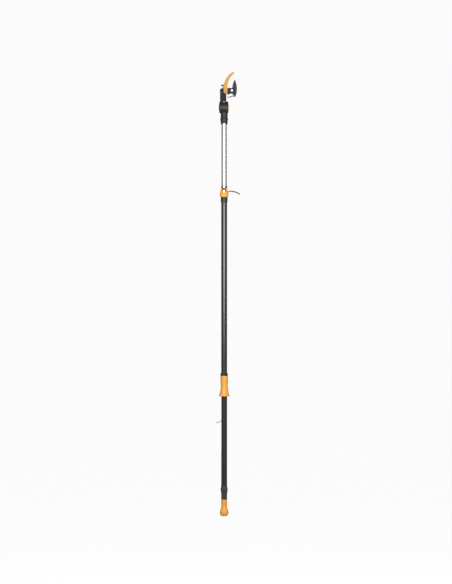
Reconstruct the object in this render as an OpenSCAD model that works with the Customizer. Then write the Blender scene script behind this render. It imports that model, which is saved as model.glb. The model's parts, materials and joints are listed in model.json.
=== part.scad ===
// Telescopic pole pruner: hook-and-blade cutting head, tilting knuckle, two-part
// pole, sliding pull grip and butt knob. Upright along +Z, jaw plane in XZ, front at -Y.

/* [Pole] */
// Outer tube diameter
pole_d = 32; // [27:0.5:39]
// Outer tube wall thickness
pole_wall = 1.1; // [0.8:0.1:1.4]
// Outer tube length
outer_len = 1624; // [1300:1:2000]
// Inner tube wall thickness
inner_wall = 1; // [0.8:0.1:1.3]
// Inner tube length
inner_len = 1970; // [1600:1:2400]
// Gap between sliding tubes, each side
slide_gap = 0.3; // [0.25:0.05:0.5]

/* [Butt] */
// Length of the butt knob
knob_len = 90; // [72:1:110]
// Largest diameter of the butt knob
knob_d = 47.6; // [42:0.5:58]
// Pull rod diameter
rod_d = 10; // [8:0.5:12]

/* [Pull grip] */
// Height of the grip's lower edge above the butt
grip_z = 647.5; // [600:1:760]
// Length of the orange grip
grip_len = 110.5; // [92:0.5:132]
// Travel of the grip down the pole
grip_travel = 137; // [120:1:150]

/* [Strap] */
// Width of the pull strap
strap_w = 8; // [6:0.5:9]
// Thickness of the pull strap
strap_t = 1.6; // [1.2:0.1:2]

/* [Lock] */
// Height of the lock's ring below the orange collar
lock_ring_h = 24; // [20:1:29]
// Height of the orange lock collar
lock_h = 59; // [54:1:66]

/* [Knuckle] */
// Radius of the tilting knuckle
knuckle_r = 32.5; // [31:0.5:34]
// Height of the tilt axis above the inner tube's end
tilt_rise = 59; // [58:0.5:64]

/* [Jaw] */
// Thickness of the blade
blade_t = 3.5; // [2.8:0.1:4.2]
// Thickness of the hook plate
hook_t = 4; // [3.3:0.1:4.8]
// Diameter of the jaw pivot bolt
pivot_d = 8; // [6.5:0.5:9.5]

/* [Hidden] */
$fn = 96;
fit = 0.06;          // radial clearance of a turning fit
clear = 0.3;         // gap between parts that move past each other
strap_gap = 0.5;     // room beside the strap

// Pole
pole_r = pole_d / 2;
outer_ir = pole_r - pole_wall;
inner_r = outer_ir - slide_gap;
inner_ir = inner_r - inner_wall;

// Butt
collar_z = knob_len + clear;
collar_nose = 33.7;
tube_z = collar_z + collar_nose;
rod_r = rod_d / 2;
rod_seat = 60;
bush_r = rod_r + 4;

// Telescope
outer_top = tube_z + outer_len;
inner_z = tube_z + 56;
inner_top = inner_z + inner_len;
slot_w = strap_w + 2 * strap_gap;

// Pull grip and its carriage
grip_ring_h = 14.5;
grip_top = grip_z + grip_len;
grip_bore = pole_r + clear;
carriage_r = inner_ir - 0.7;
carriage_z = grip_z - 142.5;
carriage_top = grip_z + 102.5;
fin_w = slot_w - 1.2;
fin_z = grip_z + 12.5;
fin_top = grip_z + 97.5;
fin_in = -(carriage_r - 3.4);
fin_pin_x = -(carriage_r - 2.4);
fin_pin_r = 0.8;
fin_out = -(grip_bore + 2.4);
channel_x = -(carriage_r - 6);
strap_x = channel_x - 0.6 - strap_t / 2;
buckle_z = grip_z - 107.5;
buckle_h = 16;
slot_z = buckle_z - grip_travel - 45;
slot_top = fin_top + 20;
inner_slot_top = fin_top + 35;

// Lock
lock_z = outer_top - 24;
lock_top = lock_z + lock_h;
ring_z = lock_z - lock_ring_h;
yoke_ir = inner_r + clear;
lock_slim_r = pole_r + 1.2;
shoe_z = outer_top + 6.5;
shoe_r = 4.4;
boss_x = pole_r + 7.5;

// Knuckle and head
tilt_z = inner_top + tilt_rise;
socket_z = inner_top - 33;
knuckle_l = -24;
knuckle_rt = 22;
plate_in = strap_w / 2 + 1.8;   // inner faces of the tongue's two plates
plate_l = [-12, -plate_in];
plate_r = [plate_in, 9.3];
tongue_r = knuckle_r - 4;
hub_r = 11.9;
roller_r = 4;
roller_y = roller_r + strap_t / 2 + 0.6;
head_z = tilt_z + knuckle_r + 0.4;
head_h = 69.8;
head_top = head_z + head_h;
head_l = -22.4;
head_r = 11.7;
head_front = -7;
head_back = 11;
head_wall = 2.2;
head_step = 6;         // the right part of the top stands this much higher
accessory = [-8.3, 5.5];
accessory_r = 2.6;

// Jaw: the planes of its plates from front to back
blade_front = -blade_t / 2;
hook_back = blade_front - clear;
hook_front = hook_back - hook_t;
bridge_t = 2.8;
bridge_front = hook_front - bridge_t;
back_plate_y = blade_t / 2 + clear;
pivot = [42.2, tilt_z + 91];
pivot_r = pivot_d / 2;
arm_r = 43.1;
arm_angle = 168;
arm_pin = pivot + arm_r * [cos(arm_angle), sin(arm_angle)];
arm_pin_r = 2.2;
arm_end_r = 4.6;
link_len = 16;
link_t = 2.6;
arm_drop = 34.3;       // travel of the arm's pin when the jaw shuts
bridge_foot = 76;      // lowest point of the back bridge's root above the tilt axis
link_y = back_plate_y;
spring_post = [15.2, tilt_z + 52.5];
spring_stud = [52, tilt_z + 62.2];
spring_r = 3.2;
spring_y = blade_front - spring_r - 0.4;

// Strap tackle in the inner tube
block_top = inner_top - 146;
wheel_big = 9;
wheel_small = 4.5;
wheel_a = [0, block_top - 24];
wheel_b = wheel_a - [0, 17];
fixed_wheel = [0, block_top - 190];
anchor = fixed_wheel + [0, 14];

// Route of the release cord at the lock, from its stem
release_d = 6;
release_route = [[0, 0], [2, 0], [5, 0.7], [9, 1.6], [13, 1.9], [17, 1.4], [22, 0.3], [28, -0.9],
    [34, -2.2], [40, -4.2], [46, -6.9], [52, -9.9], [58, -13], [62, -15.2]];
// Route of the strap's free end, from the buckle
tail_route = [[0, 0], [-0.1, -5], [-0.3, -10], [-1.2, -15], [-3, -19.5], [-6, -23.4], [-10, -26.2],
    [-14.5, -28.3], [-19, -30.8], [-23.5, -33.2], [-28, -34.4], [-32.5, -34.2], [-37, -33]];

// ---- helpers ----

// Points of an arc about c from angle a0 to a1
function arc(c, r, a0, a1, n) = [for (i = [0:n]) let (a = a0 + (a1 - a0) * i / n) c + r * [cos(a), sin(a)]];

// A tube of a given bore
module tube(r, bore, z, h) {
    translate([0, 0, z]) difference() {
        cylinder(r = r, h = h);
        translate([0, 0, -1]) cylinder(r = bore, h = h + 2);
    }
}

// A plate cut from an outline drawn in the XZ plane, from y0 to y1
module plate(y0, y1) {
    translate([0, y1, 0]) rotate([90, 0, 0]) linear_extrude(y1 - y0) children();
}

// A pin along Y at p = [x, z]
module pin_y(p, r, y0, y1) {
    translate([p[0], y1, p[1]]) rotate([90, 0, 0]) cylinder(r = r, h = y1 - y0);
}

// A pin along X at p = [y, z]
module pin_x(p, r, x0, x1) {
    translate([x0, p[0], p[1]]) rotate([0, 90, 0]) cylinder(r = r, h = x1 - x0);
}

// A screw along Y whose head faces -Y, with a cross recess
module screw_y(p, y_head, shank_r, head_r, head_h, len) {
    difference() {
        union() {
            pin_y(p, head_r, y_head, y_head + head_h);
            pin_y(p, shank_r, y_head, y_head + len);
        }
        for (turn = [0, 90])
            translate([p[0], y_head + head_h * 0.3 - 1, p[1]]) rotate([0, turn, 0])
                cube([head_r * 1.1, 2, head_r * 0.28], center = true);
    }
}

// A flat or round cord swept along points in the XZ plane
module cord(route, x0, z0, w, t, sides) {
    n = len(route);
    dir = [for (i = [0:n - 1]) let (d = route[min(i + 1, n - 1)] - route[max(i - 1, 0)]) d / norm(d)];
    pts = [for (i = [0:n - 1]) for (k = [0:sides - 1])
        let (a = 360 * (k + 0.5) / sides, s = w / 2 * sin(a), u = t / 2 * cos(a))
        [x0 + route[i][0] - dir[i][1] * u, s, z0 + route[i][1] + dir[i][0] * u]];
    skin = [for (i = [0:n - 2]) for (k = [0:sides - 1])
        let (m = (k + 1) % sides)
        [i * sides + k, i * sides + m, (i + 1) * sides + m, (i + 1) * sides + k]];
    polyhedron(pts, concat([[for (k = [0:sides - 1]) sides - 1 - k]], skin,
        [[for (k = [0:sides - 1]) (n - 1) * sides + k]]));
}

// A strap leg between two points of the XZ plane, run on a little into what it joins
module strap_leg(a, b) {
    d = b - a;
    run_on = 0.7;
    translate(a) rotate(-atan2(d[0], d[1])) translate([-strap_t / 2, -run_on])
        square([strap_t, norm(d) + 2 * run_on]);
}

// Half a turn of strap round a wheel, over the top or under the bottom
module strap_turn(c, r, top) {
    difference() {
        translate(c) circle(r = r + strap_t + 0.1);
        translate(c) circle(r = r + 0.1);
        translate(c + [-50, top ? -100 : 0]) square([100, 100]);
    }
}

// ---- butt end ----

module end_knob() {
    k = knob_d / 2;
    neck = pole_r - 0.3;
    color("orange") difference() {
        rotate_extrude() polygon(concat([[0, 0], [k - 13.3, 0]],
            arc([k - 13.3, 10.2], 10.2, -90, -40, 5), arc([k - 12, 18.5], 12, -25, 40, 6),
            [[neck + 1.8, 40], [neck + 0.5, 48], [neck, 56], [neck, 68], [neck + 0.5, knob_len - 12],
            [neck - 0.5, knob_len - 11], [neck - 0.5, knob_len - 9.5], [neck + 0.6, knob_len - 8.5],
            [neck + 0.6, knob_len - 1.5], [neck - 0.6, knob_len], [0, knob_len]]));
        translate([0, 0, knob_len - rod_seat]) cylinder(r = rod_r, h = rod_seat + 1);
        pin_y([0, knob_len - 26], 1.5, -pole_r, pole_r);
    }
}

module knob_pin() {
    color("silver") pin_y([0, knob_len - 26], 1.5, -pole_r + 0.6, pole_r - 0.6);
}

module pull_rod() {
    color("silver") difference() {
        translate([0, 0, knob_len - rod_seat]) cylinder(r = rod_r, h = carriage_z + 35 - knob_len + rod_seat);
        pin_y([0, knob_len - 26], 1.5, -pole_r, pole_r);
    }
}

module end_collar() {
    bulge = pole_r + 3.5;
    color("#484848") difference() {
        translate([0, 0, collar_z]) rotate_extrude() polygon([[bush_r, 0], [pole_r - 0.8, 0],
            [pole_r - 0.1, 1], [pole_r - 0.1, 27], [pole_r + 0.4, 33], [pole_r + 1.7, 43],
            [bulge - 0.8, 49], [bulge, 53], [bulge - 0.3, 55.5], [pole_r + 2, 60], [pole_r + 1.3, 66],
            [pole_r + 0.9, 72], [pole_r + 0.3, 73], [pole_r, 73], [pole_r, collar_nose],
            [bush_r, collar_nose]]);
        for (side = [0, 180]) rotate([0, 0, side]) pin_y([0, tube_z + 12], 2, -60, 0);
    }
}

module rod_bush() {
    color("ivory") rotate_extrude() polygon([[rod_r + fit, collar_z + 2], [bush_r, collar_z + 2],
        [bush_r, tube_z], [outer_ir - 0.6, tube_z], [outer_ir - 0.6, tube_z + 3],
        [rod_r + fit + 1, tube_z + 3], [rod_r + fit, tube_z + 2]]);
}

module collar_rivets() {
    color("dimgray") for (side = [0, 180]) rotate([0, 0, side])
        pin_y([0, tube_z + 12], 2, -(pole_r + 2), -(outer_ir - 0.4));
}

// ---- outer tube and lock ----

module outer_tube() {
    color("#2c2c2c") difference() {
        tube(pole_r, outer_ir, tube_z, outer_len);
        translate([-pole_r - 5, -slot_w / 2, slot_z]) cube([10, slot_w, slot_top - slot_z]);
        for (z = [slot_z, slot_top]) pin_x([0, z], slot_w / 2, -pole_r - 5, -5);
        for (side = [0, 180]) rotate([0, 0, side]) pin_y([0, tube_z + 12], 2, -60, 0);
    }
}

module lock_ring() {
    r = pole_r + 2.75;
    color("#707070") difference() {
        rotate_extrude() polygon([[pole_r, ring_z - 8], [pole_r + 0.7, ring_z - 8], [pole_r + 1.2, ring_z],
            [r - 0.8, ring_z + 1], [r, ring_z + 2], [r, ring_z + 9], [r - 0.7, ring_z + 10],
            [r - 0.7, ring_z + 12], [r, ring_z + 13], [r, lock_z - 0.8], [r - 0.8, lock_z],
            [pole_r, lock_z]]);
        for (side = [0, 180]) rotate([0, 0, side]) {
            pin_y([0, ring_z + 17], 1.6, -60, 0);
            pin_y([0, ring_z + 17], 3, -60, -(pole_r + 2.2));
        }
    }
}

module lock_screws() {
    color("dimgray") for (side = [0, 180]) rotate([0, 0, side])
        screw_y([0, ring_z + 17], -(pole_r + 3.4), 1.6, 3, 1.2, 3.4);
}

// The front window that shows the yoke
module lock_window() {
    translate([0, outer_top]) polygon([[-8, 2], [8, 2], [8, 21], [15.2, 31], [15.2, 60], [-15.2, 60],
        [-15.2, 31], [-8, 21]]);
}

module lock_collar() {
    slim = lock_slim_r;
    color("orange") difference() {
        union() {
            rotate_extrude() polygon([[pole_r, lock_z], [slim + 2.4, lock_z], [slim + 4, lock_z + 2.5],
                [slim + 6.6, lock_z + 8], [slim + 6.9, lock_z + 11], [slim + 6.6, lock_z + 15],
                [slim + 5.1, lock_z + 19.5], [slim + 4.4, lock_z + 25], [slim + 2.7, lock_z + 30],
                [slim + 1.2, lock_z + 36], [slim + 0.2, lock_z + 43], [slim, lock_z + 50],
                [slim - 0.3, lock_top], [pole_r, lock_top]]);
            pin_x([0, shoe_z], 5.2, pole_r + 1, boss_x);
        }
        plate(-60, -2) lock_window();
        plate(2, 60) lock_window();
        tube(slim + 4.2, pole_r, lock_z + 4, 13);
        tube(slim + 1.5, pole_r, lock_z - 1, 6);
        cylinder(r = pole_r, h = lock_top + 10);
        pin_x([0, shoe_z], shoe_r, 5, pole_r + 5.4);
        pin_x([0, shoe_z], release_d / 2 + clear, 5, boss_x + 5);
    }
}

// The sleeve above the outer tube: a cross shape in each window
module lock_yoke() {
    z = outer_top;
    color("#333333") difference() {
        tube(pole_r - fit, yoke_ir, z, lock_top - z - 0.4);
        plate(-60, 60) polygon([[-10, z + 40], [10, z + 40], [2.2, z + 24.5], [-2.2, z + 24.5]]);
        plate(-60, 60) polygon(concat([[3.6, z + 2]], arc([0, z + 11], 3.6, 0, 180, 8), [[-3.6, z + 2]]));
        pin_x([0, shoe_z], shoe_r, 5, 60);
    }
}

module brake_shoe() {
    color("dimgray") difference() {
        union() {
            pin_x([0, shoe_z], shoe_r - clear, 10, pole_r + 1.2);
            pin_x([0, shoe_z], release_d / 2, pole_r, boss_x + 0.6);
        }
        cylinder(r = yoke_ir, h = lock_top + 50);
    }
}

module shoe_spring() {
    color("silver") difference() {
        pin_x([0, shoe_z], shoe_r - 0.2, pole_r + 1.2, pole_r + 5.4);
        pin_x([0, shoe_z], release_d / 2 + clear, pole_r, pole_r + 9);
    }
}

module release_cord() {
    color("#3a3a3a") cord(release_route, boss_x + 0.6, shoe_z, release_d, release_d, 8);
}

// ---- inner tube and what it carries ----

module inner_tube() {
    color("gainsboro") difference() {
        tube(inner_r, inner_ir, inner_z, inner_len);
        translate([-pole_r - 5, -slot_w / 2, inner_z - 1]) cube([pole_r, slot_w, inner_slot_top - inner_z + 1]);
        pin_x([0, inner_slot_top], slot_w / 2, -pole_r - 5, -5);
        pin_y(anchor, 2, -60, 60);
        pin_y(fixed_wheel, 1.8, -60, 60);
    }
}

module foot_bush() {
    lip = carriage_r + clear;
    color("ivory") difference() {
        rotate_extrude() polygon([[lip, inner_z - 8], [inner_r, inner_z - 8], [inner_r, inner_z],
            [inner_ir, inner_z], [inner_ir, inner_z + 10], [lip, inner_z + 10]]);
        translate([-pole_r - 5, -slot_w / 2, inner_z - 20]) cube([pole_r + 5, slot_w, 60]);
    }
}

module fixed_roller() {
    color("ivory") difference() {
        pin_y(fixed_wheel, wheel_small, -strap_w / 2 - 0.3, strap_w / 2 + 0.3);
        pin_y(fixed_wheel, 1.8, -20, 20);
    }
}

module tackle_pins() {
    color("silver") {
        pin_y(fixed_wheel, 1.8, -inner_r + 0.2, inner_r - 0.2);
        pin_y(anchor, 2, -inner_r + 0.2, inner_r - 0.2);
    }
}

module tackle_block() {
    half = strap_w / 2 + 0.8;
    color("dimgray") difference() {
        translate([0, 0, wheel_b[1] - 9]) cylinder(r = inner_ir - 0.7, h = block_top - wheel_b[1] + 9);
        translate([-20, -half, wheel_b[1] - 10]) cube([40, 2 * half, block_top - wheel_b[1] + 2]);
        pin_y(wheel_a, 2, -20, 20);
        pin_y(wheel_b, 1.6, -20, 20);
        translate([-strap_w / 2 - 0.2, -strap_t / 2 - 0.1, block_top - 9]) cube([strap_w + 0.4, strap_t + 0.2, 20]);
    }
}

module tackle_wheels() {
    color("ivory") {
        difference() {
            pin_y(wheel_a, wheel_big, -strap_w / 2 - 0.4, strap_w / 2 + 0.4);
            pin_y(wheel_a, 2, -20, 20);
        }
        difference() {
            pin_y(wheel_b, wheel_small, -strap_w / 2 - 0.4, strap_w / 2 + 0.4);
            pin_y(wheel_b, 1.6, -20, 20);
        }
    }
}

module tackle_axles() {
    color("silver") {
        pin_y(wheel_a, 2, -inner_ir + 4, inner_ir - 4);
        pin_y(wheel_b, 1.6, -inner_ir + 4, inner_ir - 4);
    }
}

module main_strap() {
    big = wheel_big + 0.1 + strap_t / 2;
    small = wheel_small + 0.1 + strap_t / 2;
    color("silver") plate(-strap_w / 2, strap_w / 2) {
        strap_turn(wheel_a, wheel_big, true);
        strap_turn(wheel_b, wheel_small, true);
        strap_turn(fixed_wheel, wheel_small, false);
        strap_leg([strap_x, carriage_top + 2], wheel_a - [big, 0]);
        strap_leg(fixed_wheel + [small, 0], wheel_a + [big, 0]);
        strap_leg(fixed_wheel - [small, 0], wheel_b - [small, 0]);
        strap_leg(anchor + [0, 4], wheel_b + [small, 0]);
    }
}

module drive_strap() {
    color("silver") translate([-strap_w / 2, -strap_t / 2, block_top - 8])
        cube([strap_w, strap_t, arm_pin[1] - link_len - 1 - block_top + 8]);
}

// ---- knuckle ----

knuckle_screw_y = [-13, 13];

// Both halves of the knuckle and the socket under it, before they are parted
module knuckle_body() {
    open_x = [plate_l[0] - clear, plate_r[1] + clear];
    difference() {
        union() {
            translate([0, 0, tilt_z]) rotate([0, 90, 0]) rotate_extrude() polygon(concat(
                [[0, knuckle_l - 4.8], [8, knuckle_l - 4.8], [19, knuckle_l - 3.4], [28, knuckle_l - 1.6]],
                arc([knuckle_r - 4, knuckle_l + 3], 4, -70, 0, 3),
                arc([knuckle_r - 4, knuckle_rt - 4], 4, 0, 90, 4), [[0, knuckle_rt]]));
            rotate_extrude() polygon([[0, socket_z], [inner_r + 2.8, socket_z], [inner_r + 3.6, socket_z + 1.5],
                [inner_r + 4.3, socket_z + 17], [inner_r + 5.2, socket_z + 22], [inner_r + 6.3, socket_z + 27],
                [inner_r + 6.3, socket_z + 30], [inner_r + 5.3, socket_z + 34], [inner_r + 4.4, socket_z + 39],
                [inner_r + 4.8, socket_z + 49], [inner_r + 4, socket_z + 60], [inner_r + 4, tilt_z - 20],
                [0, tilt_z - 20]]);
        }
        // seat of the inner tube and the strap's way through
        translate([0, 0, socket_z - 1]) cylinder(r = inner_r, h = inner_top - socket_z + 1);
        translate([0, 0, socket_z]) cylinder(r = strap_w / 2 + 4, h = tilt_z - tongue_r + 2 - socket_z);
        // scalloped foot
        plate(-60, 60) translate([0, socket_z - 20]) circle(r = 25);
        // room for the head's tongue
        intersection() {
            pin_x([0, tilt_z], tongue_r + 0.6, open_x[0], open_x[1]);
            translate([-50, -50, tilt_z - 60]) cube(120);
        }
        // the tongue leaves at the top and swings to the back
        translate([open_x[0], 0, tilt_z]) rotate([90, 0, 90]) linear_extrude(open_x[1] - open_x[0])
            polygon(concat([[0, 0]], arc([0, 0], 60, -46, 117, 12)));
        // recess of the tilt lever
        translate([knuckle_rt - 4, -9.2, tilt_z - 29]) cube([10, 18.4, 70]);
        pin_y([knuckle_rt - 0.2, tilt_z + 22], 1.5, -13, 13);
        for (y = knuckle_screw_y) {
            pin_x([y, tilt_z - 38], 1.6, -8, 8);
            pin_x([y, tilt_z - 38], 2.6, -60, -8);
        }
    }
    // hubs that the tongue turns on
    for (x = [[open_x[0] - 1, -plate_in + 0.4], [plate_in - 0.4, open_x[1] + 1]])
        difference() {
            pin_x([0, tilt_z], hub_r, x[0], x[1]);
            for (y = [-roller_y, roller_y]) pin_x([y, tilt_z], 1.5, -20, 20);
        }
}

module knuckle_half(side) {
    color("#3c3c3c") intersection() {
        knuckle_body();
        translate([side < 0 ? -60 : 0, -60, socket_z - 10]) cube([60, 120, 200]);
    }
}

module knuckle_left() {
    knuckle_half(-1);
}

module knuckle_right() {
    knuckle_half(1);
}

module knuckle_screws() {
    color("dimgray") for (y = knuckle_screw_y) difference() {
        union() {
            pin_x([y, tilt_z - 38], 1.6, -8, 8);
            pin_x([y, tilt_z - 38], 2.6, -9.6, -8);
        }
        translate([-9.8, y, tilt_z - 38]) cube([1.6, 3, 0.7], center = true);
    }
}

module strap_rollers() {
    color("ivory") for (y = [-roller_y, roller_y]) difference() {
        pin_x([y, tilt_z], roller_r, -strap_w / 2 - 0.9, strap_w / 2 + 0.9);
        pin_x([y, tilt_z], 1.5, -20, 20);
    }
}

module roller_axles() {
    color("silver") for (y = [-roller_y, roller_y]) pin_x([y, tilt_z], 1.5, -9, 9);
}

module tilt_lever() {
    z = tilt_z + 22;
    color("orange") difference() {
        plate(-8.6, 8.6) polygon(concat(
            arc([knuckle_rt - 0.2, z], 3.6, 180, 0, 8),
            [[knuckle_rt + 3.7, tilt_z], [knuckle_rt + 3, tilt_z - 14], [knuckle_rt + 2.2, tilt_z - 25],
            [knuckle_rt - 0.4, tilt_z - 26], [knuckle_rt - 0.6, tilt_z - 14],
            [knuckle_rt - 0.4, tilt_z + 10]]));
        pin_y([knuckle_rt - 0.2, z], 1.5 + fit, -20, 20);
    }
}

module lever_pin() {
    color("silver") pin_y([knuckle_rt - 0.2, tilt_z + 22], 1.5, -13, 13);
}

// ---- head ----

module head_tongue() {
    color("dimgray") for (x = [plate_l, plate_r]) difference() {
        union() {
            pin_x([0, tilt_z], tongue_r, x[0], x[1]);
            translate([x[0], head_front + head_wall, tilt_z])
                cube([x[1] - x[0], head_back - head_front - 2 * head_wall, head_z - tilt_z + 8]);
        }
        pin_x([0, tilt_z], hub_r + fit, -60, 60);
    }
}

// Outline of the head's column
module column_outline(inset) {
    i = inset;
    polygon(concat([[head_r - i, head_z + i], [head_r - i, head_top + head_step - i],
        [arm_pin[0] - arm_end_r, head_top + head_step - i], [arm_pin[0] - arm_end_r - 1.5, head_top - i]],
        arc([head_l + 9, head_top - 9], 9 - i, 90, 180, 6),
        arc([head_l + 3, head_z + 3], 3 - i * 0.9, 180, 270, 3)));
}

module head_shell(front) {
    y0 = front ? head_front : 0;
    y1 = front ? 0 : head_back;
    arm_low = arm_pin[1] - arm_drop - arm_end_r - 1.5;
    link_low = arm_low - link_len + 3;
    color("#3a3a3a") difference() {
        union() {
            difference() {
                plate(y0, y1) column_outline(0);
                plate(front ? y0 + head_wall : -1, front ? 1 : y1 - head_wall) column_outline(head_wall);
            }
            // bosses of the screws
            for (p = head_screw_at) pin_y(p, 3.2, y0 + head_wall - 0.5, y1 - (front ? 0 : head_wall - 0.5));
        }
        // the tongue's way in
        translate([plate_l[0], head_front + head_wall, head_z - 1])
            cube([plate_r[1] - plate_l[0], head_back - head_front - 2 * head_wall, head_wall + 2]);
        // ways through the right wall: the blade's arm, the link below the back bridge, the bridge's root
        translate([head_r - 4, blade_front - 0.6, arm_low]) cube([10, back_plate_y - blade_front + 0.6, 80]);
        translate([head_r - 4, 1.2, link_low])
            cube([10, link_y + link_t - 0.6, tilt_z + bridge_foot - link_low - 1]);
        plate(back_plate_y, back_plate_y + bridge_t) back_bridge_outline();
        // the hook plate's seat
        plate(head_front - 1, hook_back) hook_outline();
        translate([head_r - 4, hook_front, head_z + 40]) cube([10, hook_t, 80]);
        translate([accessory[0], accessory[1], head_top - 6]) cylinder(r = accessory_r, h = 30);
        for (p = head_screw_at) {
            pin_y(p, 1.5, -60, head_back - 3);
            pin_y(p, 2.8, -60, head_front);
        }
    }
}

head_screw_at = [[head_l + 5.5, head_z + 8], [head_l + 5.5, head_z + 48]];

module head_front_shell() {
    head_shell(true);
}

module head_back_shell() {
    head_shell(false);
}

module head_screws() {
    color("dimgray") for (p = head_screw_at) screw_y(p, head_front - 0.9, 1.5, 2.8, 0.9, head_back - head_front - 3);
}

// The hook's outline above the tilt axis: root in the column, arm to the pivot, curved beak
module hook_outline() {
    translate([0, tilt_z]) polygon(concat(
        arc([6.5, 85], 9.6, 190, 325, 9), [[18.6, 82], [30, 79.5]],
        arc([42.2, 91], 10.5, 250, 430, 12), [[30, 100.5]],
        arc([113.8, 109.1], 95.4, 182, 131, 16), arc([48.3, 185.2], 5.8, -20, 110, 6),
        arc([95.5, 106.1], 98.5, 124, 180, 18)));
}

hook_screw_at = [[6.6, tilt_z + 87], [11.2, tilt_z + 109]];

module hook() {
    color("#f2a63c") difference() {
        plate(hook_front, hook_back) hook_outline();
        pin_y(pivot, pivot_r, -60, 60);
        for (p = hook_screw_at) pin_y(p, 2, -60, 60);
        for (p = bridge_rivet_at) pin_y(p, 1.6, -60, 60);
    }
}

module hook_screws() {
    color("silver") screw_y(hook_screw_at[0], hook_front - 1.1, 2, 3.6, 1.1, 1.1 + hook_t);
    color("silver") screw_y(hook_screw_at[1], hook_front - 0.6, 2, 2.6, 0.6, 0.6 + hook_t);
}

bridge_rivet_at = [[21, tilt_z + 84], [24, tilt_z + 96]];

module bridge_outline() {
    translate([0, tilt_z]) polygon(concat([[18.6, 67.5], [29, 69.5]],
        arc([42.4, 88], 15, 235, 375, 10), arc([39, 117], 13.5, -38, -130, 6),
        [[18.6, 103]]));
}

module front_bridge() {
    color("#333333") difference() {
        plate(bridge_front, hook_front) bridge_outline();
        pin_y(pivot, pivot_r, -60, 60);
        for (p = bridge_rivet_at) pin_y(p, 1.6, -60, 60);
    }
    color("#333333") for (p = bridge_rivet_at) pin_y(p, 1.6, bridge_front - 0.8, hook_back);
}

// The back bridge's root sits in a notch of the back shell's wall, above the link's path
module back_bridge_outline() {
    translate([0, tilt_z]) polygon(concat([[head_r - head_wall, bridge_foot], [30, 75]],
        arc([42.4, 91], 10.5, 230, 450, 10), [[30, 100], [head_r - head_wall, 103]]));
}

module back_bridge() {
    color("#333333") difference() {
        plate(back_plate_y, back_plate_y + bridge_t) back_bridge_outline();
        pin_y(pivot, pivot_r, -60, 60);
    }
}

module pivot_bolt() {
    color("#d0d0d0") difference() {
        union() {
            pin_y(pivot, pivot_r, bridge_front, back_plate_y + bridge_t + 7);
            pin_y(pivot, pivot_r + 1.6, bridge_front - 3, bridge_front);
        }
        pin_y(pivot, 2.4, bridge_front - 4, bridge_front - 1.4, $fn = 6);
    }
}

module pivot_nut() {
    y = back_plate_y + bridge_t;
    color("silver") difference() {
        pin_y(pivot, pivot_r + 2.8, y, y + 5.5, $fn = 6);
        pin_y(pivot, pivot_r, y - 1, y + 20);
    }
}

module accessory_bolt() {
    color("#444444") {
        translate([accessory[0], accessory[1], head_top - 5]) cylinder(r = accessory_r, h = 18);
        translate([accessory[0], accessory[1], head_top + 13]) rotate_extrude() polygon([[0, 0], [6.4, 0], [7.4, 1.2],
            [7.4, 6.4], [6.2, 7.8], [0, 7.8]]);
    }
}

module spring_anchor() {
    color("silver") {
        pin_y(spring_post, 1.5, spring_y - spring_r - 1, 0.8);
        translate([head_r, -0.8, spring_post[1] - 2.4]) cube([spring_post[0] - head_r + 1, 1.6, 4.8]);
    }
}

module return_spring() {
    d = spring_stud - spring_post;
    off = 1.6 + clear;
    color("silver") translate([spring_post[0], spring_y, spring_post[1]]) rotate([0, atan2(d[0], d[1]), 0])
        translate([0, 0, off]) cylinder(r = spring_r, h = norm(d) - 2 * off);
}

module blade() {
    color("#2e2c30") difference() {
        plate(blade_front, blade_t / 2) translate([0, tilt_z]) polygon(concat(
            [[52.5, 56.4]], arc([-50.3, 100], 119.3, -20.2, 24.6, 16),
            arc([158, 97.9], 114.5, 153.3, 172, 8),
            arc([42.2, 91], 11.5, 100, 150, 5),
            arc(arm_pin - [0, tilt_z], arm_end_r, 78, 258, 8),
            arc([42.2, 91], 11.5, 205, 262, 5), [[43.8, 71], [46, 62]]));
        pin_y(pivot, pivot_r + fit, -60, 60);
        pin_y(arm_pin, arm_pin_r, -60, 60);
        pin_y(spring_stud, 1.6, -60, 60);
    }
}

module blade_stud() {
    color("silver") {
        pin_y(spring_stud, 1.6, spring_y - spring_r - 0.6, blade_t / 2);
    }
}

module arm_pivot() {
    color("silver") pin_y(arm_pin, arm_pin_r, blade_front, link_y + link_t + 1);
}

module drive_link() {
    foot = arm_pin - [0, link_len];
    foot_half = strap_w / 2 + 0.6;
    color("dimgray") difference() {
        union() {
            plate(link_y, link_y + link_t) polygon(concat(arc(arm_pin, 4, 0, 180, 8),
                [foot + [-foot_half, -1], foot + [foot_half, -1]]));
            translate([foot[0] - foot_half, -1.7, foot[1] - 4]) cube([2 * foot_half, link_y + link_t + 1.7, 8]);
        }
        pin_y(arm_pin, arm_pin_r + fit, -60, 60);
        translate([foot[0] - strap_w / 2 - 0.1, -strap_t / 2 - 0.1, foot[1] - 6]) cube([strap_w + 0.2, strap_t + 0.2, 8]);
    }
}

// ---- pull grip ----

module grip_profile() {
    r = pole_r;
    polygon([[grip_bore, grip_z + 1], [r + 10.4, grip_z], [r + 12, grip_z + 1.6], [r + 12.4, grip_z + 4],
        [r + 11.6, grip_z + 9], [r + 9.2, grip_z + 14.5], [r + 7.2, grip_z + 19.5],
        [r + 5.8, grip_z + 26], [r + 4.8, grip_z + 34], [r + 4, grip_z + 44], [r + 3.6, grip_z + 56],
        [r + 3.8, grip_z + 68], [r + 4.5, grip_z + 82], [r + 4.7, grip_z + 94], [r + 4.4, grip_top - 2],
        [r + 3.6, grip_top], [grip_bore, grip_top]]);
}

grip_screw_z = [grip_z + 30, grip_z + 92];

module grip_half(side) {
    color("orange") difference() {
        rotate([0, 0, side < 0 ? 180 : 0]) rotate_extrude(angle = 180) grip_profile();
        translate([fin_out, -fin_w / 2, fin_z]) cube([-fin_out, fin_w, fin_top - fin_z]);
        for (z = grip_screw_z) pin_y([pole_r + 2.2, z], 1.2, -20, 20);
    }
}

module grip_front() {
    grip_half(-1);
}

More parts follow.
